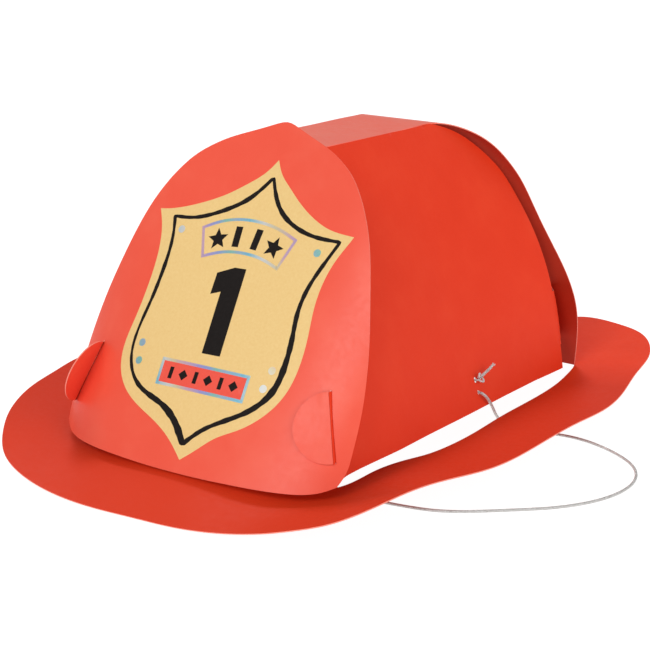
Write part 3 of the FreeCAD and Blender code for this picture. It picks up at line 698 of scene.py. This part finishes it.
# ------------------------------------------------------------ brim
BRIM = [
    ((0, -74.3, 12.6), (0, -100.0, 0.7)), ((17, -73.0, 12.2), (19, -98.8, 0.9)), ((33, -69.3, 11.4), (38, -95.5, 1.8)),
    ((48, -62.5, 10.7), (56, -91.0, 4.2)), ((58.5, -54, 10.2), (70, -88.0, 7.8)), ((64, -45, 10), (83.0, -81.5, 11.3)),
    ((66.0, -35, 10), (92, -69.5, 14.5)), ((66.6, -22, 10), (97, -50, 16)), ((70.4, -5, 10), (101.5, -24, 14.5)),
    ((75.3, 8, 10), (107.5, -1.5, 12.7)), ((78.2, 25, 10), (110.9, 20, 12)), ((79.1, 45, 10), (112.2, 45, 12)),
    ((78.9, 70, 10), (114.2, 74, 12.2)), ((79.9, 99, 10), (117.6, 98, 13)), ((80.2, 120, 10.6), (115.9, 121, 14.5)),
    ((79.6, 134, 12), (112.4, 143, 17)), ((78.8, 143.4, 14.4), (110.5, 161, 20)), ((69, 146.6, 13.3), (98, 183.5, 22)),
    ((52, 151.3, 11.8), (78, 195.5, 22)), ((34, 154.7, 10.7), (52, 203.5, 19.5)), ((17, 156.7, 10.1), (26, 207, 10.5)),
    ((0, 157.3, 9.9), (0, 208.3, 3.5)),
    ((-17, 156.7, 10.1), (-26, 208, 0.7)), ((-34, 154.7, 10.7), (-52, 203.5, 1.0)), ((-52, 151.3, 11.8), (-78, 194, 4)),
    ((-69, 146.6, 13.3), (-98, 180.5, 8)), ((-78.8, 143.4, 14.4), (-112, 158, 11)), ((-79.6, 134, 12), (-116.5, 140, 12)),
    ((-80.2, 120, 10.6), (-118, 120, 12.5)), ((-79.9, 99, 10), (-119, 97, 13.5)), ((-78.9, 70, 10), (-119, 70, 15.5)),
    ((-79.1, 45, 10), (-119, 45, 17.5)), ((-78.2, 25, 10), (-119, 22, 19.5)), ((-75.3, 8, 10), (-119.3, 0, 20.3)),
    ((-70.4, -5, 10), (-115.5, -20, 20)), ((-66.6, -22, 10), (-110, -44.5, 19)), ((-66, -35, 10), (-102, -64.5, 16.6)),
    ((-64, -45, 10), (-91.5, -80, 14.3)), ((-58.5, -54, 10.2), (-79.5, -92.5, 10)), ((-48, -62.5, 10.7), (-61, -100, 5.3)),
    ((-33, -69.3, 11.4), (-40, -101.8, 1.9)), ((-17, -73, 12.2), (-20, -101.4, 0.8)),
]
inner = np.array([a for a, _b in BRIM] + [BRIM[0][0]], float)
outer = np.array([b for _a, b in BRIM] + [BRIM[0][1]], float)
knots = np.concatenate([[0], np.cumsum(np.linalg.norm(np.diff(inner, axis=0), axis=1)
                                       + np.linalg.norm(np.diff(outer, axis=0), axis=1))])
inner_at, outer_at = cubic(knots, inner, True), cubic(knots, outer, True)


def brim(k, r):
    """Ring: k round it, r from the head opening to the outer edge."""
    k, r = np.asarray(k, float) % knots[-1], np.asarray(r, float)
    p = inner_at(k) * (1 - r)[..., None] + outer_at(k) * r[..., None]
    belly = np.sin(math.pi * np.clip(r, 0, 1))
    q = p.copy()
    q[..., 2] = p[..., 2] + belly * (0.35 * ripple(p, 23.0, 0.7) - 0.25)
    return q


NK, NR = 360, 16
ks = np.arange(NK) * knots[-1] / NK
rs = np.linspace(0, 1, NR)
kk, rr = np.meshgrid(ks, rs, indexing="ij")
uv = np.stack([kk.ravel(), rr.ravel()], 1)
e = 0.3
p0 = brim(uv[:, 0], uv[:, 1])
nrm = np.cross(brim(uv[:, 0] + e, uv[:, 1]) - brim(uv[:, 0] - e, uv[:, 1]),
               brim(uv[:, 0], uv[:, 1] + 0.01) - brim(uv[:, 0], uv[:, 1] - 0.01))
nrm /= np.linalg.norm(nrm, axis=1)[:, None]
nrm *= np.sign(nrm[:, 2:3])
quads = [(i * NR + j, i * NR + j + 1, ((i + 1) % NK) * NR + j + 1, ((i + 1) % NK) * NR + j)
         for i in range(NK) for j in range(NR - 1)]
q0 = [p0[i] for i in quads[0]]
if np.cross(q0[1] - q0[0], q0[2] - q0[1])[2] < 0:
    quads = [q[::-1] for q in quads]
own(solid_sheet("brim_card", uv, quads, p0, nrm, -CARD / 2, CARD / 2, 2, [BRIM_RED_PAINTED_SHADE, RED_INSIDE_PAINTED_SHADE, EDGE_MAT], False),
    "hat", "red_card", "brim")

# ------------------------------------------------------------ lock tabs


def hinge_points(kind, sign):
    pts = front_hinge if kind == "front" else rear_hinge
    return [np.array([sign * float(side_x(y, z)), y, z]) for y, z in pts]


def d_outline(chord, depth, root, step):
    a0 = np.linspace(-math.pi / 2, math.pi / 2, 40)
    c = chord / 2
    r = (c * c + depth * depth) / (2 * depth)
    ang = math.atan2(c, depth - r)
    th = np.linspace(-ang, ang, 44)
    arc = [(root + depth - r + r * math.cos(q), r * math.sin(q)) for q in th]
    arc[0], arc[-1] = (root, -c), (root, c)
    return joined(np.array(arc), straight([arc[-1], arc[0]], step))


def height_off(q):
    """Nearest front panel place and height off it for points."""
    s, t = q[:, 0].copy(), (q[:, 2] - 17.8) / CL
    for _ in range(14):
        p = panel(s, t)
        ds, dt = (panel(s + 0.1, t) - p) * 10, (panel(s, t + 0.1) - p) * 10
        d = q - p
        s = s + (d * ds).sum(1) / (ds * ds).sum(1)
        t = t + (d * dt).sum(1) / (dt * dt).sum(1)
    n = np.cross(ds, dt)
    n /= np.linalg.norm(n, axis=1)[:, None]
    return s, t, (d * n).sum(1)


def tab(name, body, node, kind, sign, flat, chord, depth, shape, mats, slot):
    lo, hi = hinge_points(kind, sign)
    axis = (hi - lo) / np.linalg.norm(hi - lo)
    flat = np.array(flat, float)
    flat -= axis * flat.dot(axis)
    flat /= np.linalg.norm(flat)
    n = np.cross(flat, axis)
    out = np.array((0, -1.0, 0.4)) if kind == "front" else np.array((0, 1.0, 0))
    side = 1 if n.dot(out) > 0 else -1
    n = n * side
    mid = (lo + hi) / 2

    def f(a, b):
        return shape(mid, flat, axis, n, np.asarray(a, float), np.asarray(b, float))
    o = cut_sheet(name, d_outline(chord, depth, 0.36, 1.2), [], f, 1.3, mats, flip=side < 0)
    return own(o, body, slot, node)


def lying(mid, flat, axis, n, a, b):
    """Springs off its crease, then lies along the front panel."""
    q = mid + flat * a[..., None] + axis * b[..., None]
    flat_q = q.reshape(-1, 3)
    s, t, h = height_off(flat_q)
    aa = a.reshape(-1)
    w = np.clip(aa / 6.0, 0, 1)
    w = w * w * (3 - 2 * w)
    rest = 0.72 + 0.9 * np.clip((aa - 7) / 10, 0, 1) ** 2
    hh = h * (1 - w) + np.minimum(h, rest) * w
    return panel(s, t, hh).reshape(q.shape)


def standing(mid, flat, axis, n, a, b, stand=56.0, curl=-0.3):
    """Stands off the panel and curls back a little along its length."""
    r = math.radians(stand)
    d, up = flat * math.cos(r) + n * math.sin(r), n * math.cos(r) - flat * math.sin(r)
    rise = curl * (a / 16.0) ** 2 + 0.15 * np.cos(b / 9.0) * (a / 16.0)
    return mid + d * a[..., None] + axis * b[..., None] + up * rise[..., None]


def lifted(mid, flat, axis, n, a, b):
    """Lies near the rear panel, its tip just clear of it."""
    return mid + flat * a[..., None] + axis * b[..., None] + n * (0.3 * (a / 12.0) ** 2)[..., None]


# painted shade: the right tab's cut edge takes the red card instead of the pale cut-edge colour, a darker outline
# standing in for the edge in shade
tab("front_lock_tab_card_right", "front_right_lock_tab", "front_lock_tab_right", "front", 1, (-0.874, -0.47, -0.122),
    29.6, 15.8, lying, [CORAL, RED_INSIDE_PAINTED_SHADE, RED], "coral_card")
# painted light: the left tab's inside face, which lies in shade, is given the lighter coral card instead of the inside
# red
tab("front_lock_tab_card_left", "front_left_lock_tab", "front_lock_tab_left", "front", -1, (0.874, -0.47, -0.122),
    29.6, 15.8, standing, [CORAL, CORAL, EDGE_MAT], "coral_card")
tab("rear_lock_tab_card_right", "rear_right_lock_tab", "rear_lock_tab_right", "rear", 1, (-0.992, 0.122, -0.025),
    25.0, 12.0, lifted, [RED, RED_INSIDE_PAINTED_SHADE, EDGE_MAT], "red_card")
tab("rear_lock_tab_card_left", "rear_left_lock_tab", "rear_lock_tab_left", "rear", -1, (0.992, 0.122, -0.025),
    25.0, 12.0, lifted, [RED, RED_INSIDE_PAINTED_SHADE, EDGE_MAT], "red_card")
for glued in ("brim_front_glue_tab", "top_front_glue_tab"):
    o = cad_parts[glued]
    o.data.materials.clear()
    o.data.materials.append(RED_INSIDE_PAINTED_SHADE)

# ------------------------------------------------------------ print on the front panel
H = CARD / 2


def decal(name, outline, mat, low, high, step=2.4, slot="coral_card"):
    o = cut_sheet(name, outline, [], panel, step, [mat], H + low, H + high, 0)
    return own(o, "hat", slot)


SH_TL = [(2.2, 137.1), (-1.9, 130.9), (-9.3, 124.4), (-18.2, 118.2), (-27.7, 113.4), (-37.9, 109.6), (-46.8, 107.6),
         (-51.1, 107.2)]
SH_L = [(-51.1, 107.2), (-47.4, 99.8), (-44.5, 88.2), (-44.0, 70.4), (-45.3, 55.5), (-46.4, 42.6), (-44.8, 35.1),
        (-38.7, 26.3), (-29.6, 20.1), (-17.5, 14.8), (-6.0, 8.6), (3.6, 0.6)]
SH_R = [(3.6, 0.6), (9.9, 6.3), (17.0, 12.9), (26.1, 18.4), (33.5, 24.3), (38.8, 30.7), (42.6, 38.4), (44.6, 49.1),
        (44.3, 63.7), (43.1, 75.5), (43.5, 86.0), (46.2, 97.0), (50.0, 105.5), (51.2, 108.2)]
SH_TR = [(51.2, 108.2), (39.0, 109.5), (28.0, 114.1), (19.3, 119.8), (12.0, 125.7), (6.2, 130.9), (2.2, 137.1)]
decal("shield_print", joined(through(SH_TL, 1.6), through(SH_L, 1.6), through(SH_R, 1.6), through(SH_TR, 1.6)),
      TAN, 0.0, 0.022, slot="print_tan")

# hand-drawn outline: runs between the four corners, each with its own widths
INK = [
    ([(2.5, 128.6), (-5.7, 118.2), (-17.9, 110.2), (-31.6, 105.3), (-41.7, 104.7)], (1.3, 1.9, 1.7, 1.4, 1.2)),
    ([(-41.7, 105.2), (-39.2, 95.6), (-38.4, 79.3), (-39.5, 64.8), (-41.3, 50.4), (-40.3, 40.1), (-34.5, 30.7),
      (-27.7, 26.2), (-15.6, 22.0), (-6.2, 16.6), (2.7, 7.0)], (1.5, 1.3, 1.7, 1.5, 1.2, 1.3, 1.4, 1.7, 2.1, 2.6, 2.4)),
    ([(2.3, 7.2), (9.5, 14.8), (19.5, 21.4), (29.2, 28.0), (36.5, 38.0), (38.1, 47.3), (37.5, 61.4), (36.3, 72.0),
      (37.4, 83.0), (41.3, 94.6), (45.8, 105.4)], (2.0, 1.6, 1.8, 2.0, 2.5, 2.3, 1.9, 1.7, 1.6, 1.5, 1.1)),
    ([(45.6, 105.0), (32.4, 105.5), (20.6, 108.9), (12.1, 114.4), (6.0, 122.3), (2.6, 128.9)],
     (1.3, 1.5, 1.6, 1.8, 1.5, 1.3)),
]
for i, (pts, wid) in enumerate(INK):
    line = through(pts, 0.9)
    k = np.concatenate([[0], np.cumsum(np.linalg.norm(np.diff(np.array(pts), axis=0), axis=1))])
    run = np.concatenate([[0], np.cumsum(np.linalg.norm(np.diff(line, axis=0), axis=1))])
    w = np.interp(run / run[-1] * k[-1], k, wid)
    w = 1.22 * w * (1 + 0.09 * np.sin(run * 0.55 + i) + 0.05 * np.sin(run * 1.31 + 2 * i))
    ends = np.minimum(run, run[-1] - run)
    w = w * np.sqrt(np.clip((ends + 0.15) / 0.8, 0.25, 1))
    l, r = sides_of(line, w)
    own(ribbon("shield_ink_line_%d" % i, l, r, panel, [BLACK], H + 0.022 + 0.002 * i, H + 0.042 + 0.002 * i),
        "hat", "print_black")

NUMERAL = [(-9.4, 72.9), (-9.5, 82.7), (-1.4, 86.3), (4.6, 86.4), (6.1, 47.0), (-3.4, 46.8), (-4.5, 74.7)]
decal("numeral_print", straight(NUMERAL + NUMERAL[:1], 1.5)[:-1], BLACK, 0.022, 0.042, 2.0, "print_black")

ARCH_TOP = through([(-25.3, 102.0), (-16.6, 106.2), (-6.3, 108.6), (4.6, 108.6), (15.4, 106.5), (25.0, 102.9)], 1.2)
ARCH_BOT = through([(-20.4, 87.9), (-10.6, 91.4), (0.0, 92.5), (9.6, 91.5), (19.8, 88.2)], 1.2)


def framed(name, ring_out, ring_in, mat):
    """Foil frame between two outlines with the same number of points."""
    return own(ribbon(name, ring_out, ring_in, panel, [mat], H + 0.022, H + 0.046, closed=True), "hat", "print_foil")


def inset(ring, d, corners):
    """The outline moved inwards by d, with its corners kept."""
    ring = np.asarray(ring, float)
    cen = ring.mean(0)
    out = []
    n = len(ring)
    for i in range(n):
        a, b, c = ring[i - 1], ring[i], ring[(i + 1) % n]
        d1, d2 = (b - a) / np.linalg.norm(b - a), (c - b) / np.linalg.norm(c - b)
        n1, n2 = np.array([-d1[1], d1[0]]), np.array([-d2[1], d2[0]])
        if n1.dot(cen - b) + n2.dot(cen - b) < 0:
            n1, n2 = -n1, -n2
        m = (n1 + n2) / np.linalg.norm(n1 + n2)
        out.append(b + m * d / max(0.5, m.dot(n1)))
    return np.array(out)


arch_ring = joined(ARCH_TOP, straight([ARCH_TOP[-1], ARCH_BOT[-1]], 1.2), ARCH_BOT[::-1],
                   straight([ARCH_BOT[0], ARCH_TOP[0]], 1.2))
framed("arch_frame_foil", arch_ring, inset(arch_ring, 1.35, 4), FOIL)
plate_corners = [(-22.3, 41.9), (24.1, 41.9), (24.3, 29.8), (-21.9, 29.8)]
plate_ring = straight(plate_corners + plate_corners[:1], 1.2)[:-1]
framed("plate_frame_foil", plate_ring, inset(plate_ring, 1.35, 4), FOIL)
inner_plate = [(-21.0, 40.6), (22.8, 40.6), (23.0, 31.1), (-20.6, 31.1)]
decal("plate_print", straight(inner_plate + inner_plate[:1], 1.2)[:-1], PLATE, 0.022, 0.034)


def star(c, r, turn=0.0, tilt=0.0):
    pts = []
    for i in range(10):
        q = r if i % 2 == 0 else r * 0.45
        a = math.pi / 2 + i * math.pi / 5 + turn
        pts.append((c[0] + q * math.cos(a), c[1] + q * math.sin(a)))
    return np.array(straight(pts + pts[:1], 1.0)[:-1])


def block(c, w, h, turn):
    pts = []
    for x, y in ((-w, -h), (w, -h), (w, h), (-w, h)):
        x, y = x / 2, y / 2
        pts.append((c[0] + x * math.cos(turn) - y * math.sin(turn), c[1] + x * math.sin(turn) + y * math.cos(turn)))
    return np.array(straight(pts + pts[:1], 1.0)[:-1])


for i, (c, turn) in enumerate((((-15.0, 97.6), 0.26), ((-5.6, 100.0), 0.07), ((4.6, 100.1), -0.07), ((14.4, 97.8), -0.26))):
    shape = star(c, 5.2, turn) if i in (0, 3) else block(c, 3.4, 9.4, turn)
    decal("arch_mark_%d" % i, shape, BLACK, 0.022, 0.042, 1.6, "print_black")
for i in range(6):
    c = (-15.6 + 6.6 * i, 35.85)
    shape = block(c, 3.4, 3.4, math.pi / 4) if i % 2 else block(c, 2.0, 5.2, 0.0)
    decal("plate_mark_%d" % i, shape, BLACK, 0.034, 0.05, 1.4, "print_black")
for i, c in enumerate(((-35.6, 99.2), (36.5, 98.7), (-36.4, 46.2), (-35.0, 38.2), (33.1, 46.0), (31.7, 37.8))):
    decal("foil_dot_%d" % i, np.array(punched(c, 1.75, 28)), FOIL, 0.022, 0.046, 0.9, "print_foil")


# ------------------------------------------------------------ elastic
def frames_along(line):
    """Unit tangents and two steady cross directions along a line."""
    t = np.gradient(line, axis=0)
    t /= np.linalg.norm(t, axis=1)[:, None]
    a = np.zeros_like(t)
    ref = np.array([0.0, 0.0, 1.0]) if abs(t[0][2]) < 0.9 else np.array([1.0, 0.0, 0.0])
    a[0] = np.cross(t[0], ref)
    a[0] /= np.linalg.norm(a[0])
    for i in range(1, len(t)):
        v = a[i - 1] - t[i] * a[i - 1].dot(t[i])
        a[i] = v / np.linalg.norm(v)
    return t, a, np.cross(t, a)


def resample(line, step):
    d = np.linalg.norm(np.diff(line, axis=0), axis=1)
    keep = np.concatenate([[True], d > 1e-6])
    line = line[keep]
    k = np.concatenate([[0], np.cumsum(np.linalg.norm(np.diff(line, axis=0), axis=1))])
    x = np.linspace(0, k[-1], max(3, int(k[-1] / step)))
    return np.stack([np.interp(x, k, line[:, i]) for i in range(3)], 1), x


def tube_mesh(lines, sides=6):
    """Vertices and faces of capped tubes: each item is (points in mm of the part's frame, radius or radii)."""
    vs, fs = [], []
    for line, rad in lines:
        line = np.asarray(line, float)
        rad = np.broadcast_to(np.asarray(rad, float), (len(line),))
        _t, a, b = frames_along(line)
        base = len(vs)
        for p, r, u, w in zip(line, rad, a, b):
            for j in range(sides):
                q = 2 * math.pi * j / sides
                vs.append(tuple((p + r * (u * math.cos(q) + w * math.sin(q))) * 0.001))
        n = len(line)
        for i in range(n - 1):
            for j in range(sides):
                k = (j + 1) % sides
                fs.append((base + i * sides + j, base + i * sides + k, base + (i + 1) * sides + k, base + (i + 1) * sides + j))
        fs.append(tuple(base + j for j in range(sides))[::-1])
        fs.append(tuple(base + (n - 1) * sides + j for j in range(sides)))
    return vs, fs


def tubes(name, lines, mat, sides=6):
    vs, fs = tube_mesh(lines, sides)
    me = bpy.data.meshes.new(name)
    me.from_pydata(vs, [], fs)
    me.materials.append(mat)
    me.polygons.foreach_set("use_smooth", [True] * len(fs))
    me.validate()
    return link(name, me)


def helix(line, radius, pitch, phase, step=0.22, start=0.0, stop=None):
    fine, run = resample(line, step)
    _t, a, b = frames_along(fine)
    q = (2 * math.pi * run / pitch + phase)[:, None]
    rad = np.broadcast_to(np.asarray(radius if not callable(radius) else radius(run / run[-1]), float), (len(run),))
    return fine + rad[:, None] * (a * np.cos(q) + b * np.sin(q))


core_line = route_line(ROUTE)
cord.data.materials.append(LAME_DARK)
winding = tubes("elastic_cord_winding", [(helix(core_line, 0.56, 1.9, ph), 0.15) for ph in (0.0, 2.09, 4.19)], LAME, 5)
own(winding, "hat", "elastic")

shift = lambda pts: np.asarray(pts, float) - OFFSET

# the rounded outside of each lock tab's crease
for kind in ("front", "rear"):
    for name, sign in (("right", 1), ("left", -1)):
        lo, hi = hinge_points(kind, sign)
        lean = (hi - lo) / np.linalg.norm(hi - lo)
        run = straight([lo - 0.05 * lean, hi + 0.05 * lean], 1.0)
        wide = 0.25 - 0.012 * np.cos(np.arange(len(run)) * 1.7) ** 2
        own(tubes("%s_tab_crease_%s" % (kind, name), [(shift(run), wide)], RED, 10), "hat", "red_card")


def knot_end(name, sign):
    """Inner run between the two holes, the turn out of the upper hole, a half hitch and the twisted tail."""
    def wp(y, z, off):
        e = 0.05
        p = np.array([sign * float(side_x(y, z)), y, z])
        n = np.array([1.0, 0.0, float(-(side_x(y, z + e) - side_x(y, z - e)) / (2 * e))])
        n /= np.linalg.norm(n)
        return p + off * np.array([sign * n[0], 0, n[2]])
    (uy, uz), (ly, lz) = HOLES
    inner_run = [wp(ly, lz, 0.9), wp(ly, lz, -0.5), wp(ly, lz + 0.3, -1.2), wp((ly + uy) / 2, (lz + uz) / 2, -1.35),
                 wp(uy, uz - 0.3, -1.2), wp(uy, uz, -0.5), wp(uy, uz, 0.6)]
    hitch = [wp(uy, uz, 0.5), wp(uy + 0.2, uz - 0.2, 1.6), wp(uy + 1.0, uz - 1.2, 2.5), wp(uy + 2.6, uz - 1.5, 2.6),
             wp(uy + 3.2, uz - 0.6, 2.2), wp(uy + 2.6, uz + 0.4, 1.8), wp(uy + 1.2, uz + 0.7, 1.6),
             wp(uy + 0.4, uz + 1.2, 2.1), wp(uy + 0.7, uz + 2.2, 2.6), wp(uy + 1.6, uz + 2.1, 2.4)]
    tail = [wp(uy + 0.9, uz + 0.4, 1.9), wp(uy + 3.0, uz + 1.0, 2.4), wp(uy + 5.4, uz + 1.8, 3.1),
            wp(uy + 7.6, uz + 2.7, 3.9), wp(uy + 9.2, uz + 3.6, 4.7)]
    s_in, s_hitch, s_tail = (shift(through(p, 0.25)) for p in (inner_run, hitch, tail))
    lines = [(s_in, 0.6)]
    lines += [(helix(s_in, 0.5, 1.9, ph, 0.2), 0.15) for ph in (0, 2.09, 4.19)]
    lines += [(s_hitch, 0.42)]
    lines += [(helix(s_hitch, 0.4, 1.5, ph, 0.18), 0.17) for ph in (0, 3.14)]
    wave = lambda x: 0.42 + 0.10 * np.sin(x * 31.0) - 0.12 * x
    lines += [(helix(s_tail, wave, 2.3, ph, 0.18), 0.34) for ph in (0, 3.14)]
    lines += [(helix(s_tail, lambda x: 0.72 + 0 * x, 1.1, 1.0, 0.16), 0.11)]
    # frayed filaments at the very end
    t = s_tail[-1] - s_tail[-6]
    t /= np.linalg.norm(t)
    a = np.cross(t, (0, 0, 1.0))
    a /= np.linalg.norm(a)
    b = np.cross(t, a)
    rng = np.random.RandomState(7 if sign > 0 else 11)
    for i in range(16):
        q = 2 * math.pi * i / 16 + rng.uniform(-0.2, 0.2)
        d = a * math.cos(q) + b * math.sin(q)
        reach, wide = rng.uniform(0.9, 1.7), rng.uniform(0.4, 1.0)
        pts = [s_tail[-1] - t * 0.5 + d * 0.2, s_tail[-1] + t * 0.3 * reach + d * 0.45 * wide,
               s_tail[-1] + t * 0.75 * reach + d * 0.9 * wide, s_tail[-1] + t * reach + d * 0.8 * wide]
        lines.append((through(pts, 0.2), np.linspace(0.13, 0.07, len(through(pts, 0.2)))))
    o = tubes(name, lines, LAME, 6)
    return own(o, "hat", "elastic", "elastic_knot_" + ("right" if sign > 0 else "left"))


knots_made = [knot_end("elastic_knot_end_right", 1), knot_end("elastic_knot_end_left", -1)]
own(cord, "hat", "elastic", "elastic_cord")

# ------------------------------------------------------------ floor and light
me = bpy.data.meshes.new("floor")
me.from_pydata([(-12, -12, 0), (12, -12, 0), (12, 12, 0), (-12, 12, 0)], [], [(0, 1, 2, 3)])
floor = link("floor", me)
m, nt, b, vec = material("studio_floor")
b.inputs["Base Color"].default_value = (0.22, 0.22, 0.22, 1)
b.inputs["Roughness"].default_value = 0.9
b.inputs["Specular IOR Level"].default_value = 0.1
b.inputs["Emission Color"].default_value = (1, 1, 1, 1)
b.inputs["Emission Strength"].default_value = 0.96
me.materials.append(m)
floor.location = (0, 0, -0.00005)

world = bpy.data.worlds.new("studio")
world.use_nodes = True
world.node_tree.nodes["Background"].inputs["Color"].default_value = (1, 1, 1, 1)
world.node_tree.nodes["Background"].inputs["Strength"].default_value = 0.40
scene.world = world


def sun(name, direction, strength, angle):
    li = bpy.data.lights.new(name, "SUN")
    li.energy = strength
    li.angle = math.radians(angle)
    o = link(name, li)
    o.rotation_mode = "QUATERNION"
    o.rotation_quaternion = Vector(direction).to_track_quat("Z", "Y")
    return o


def softbox(name, place, target, size, energy):
    li = bpy.data.lights.new(name, "AREA")
    li.shape = "RECTANGLE"
    li.size, li.size_y = size
    li.energy = energy
    o = link(name, li)
    o.location = place
    o.rotation_mode = "QUATERNION"
    o.rotation_quaternion = (Vector(place) - Vector(target)).to_track_quat("Z", "Y")
    return o


sun("top_light", (-0.38, 0.34, 0.86), 0.80, 14)
sun("front_light", (-0.10, -0.90, 0.40), 0.44, 40)
sun("side_light", (0.94, -0.05, 0.22), 0.92, 50)
softbox("front_softbox", (0.16, -0.95, 0.80), (0, -0.05, 0.07), (0.55, 0.4), 3.2)

scene.view_settings.view_transform = "Standard"
scene.view_settings.look = "None"
scene.view_settings.exposure = 0.0
scene.view_settings.gamma = 1.0

bpy.context.view_layer.update()
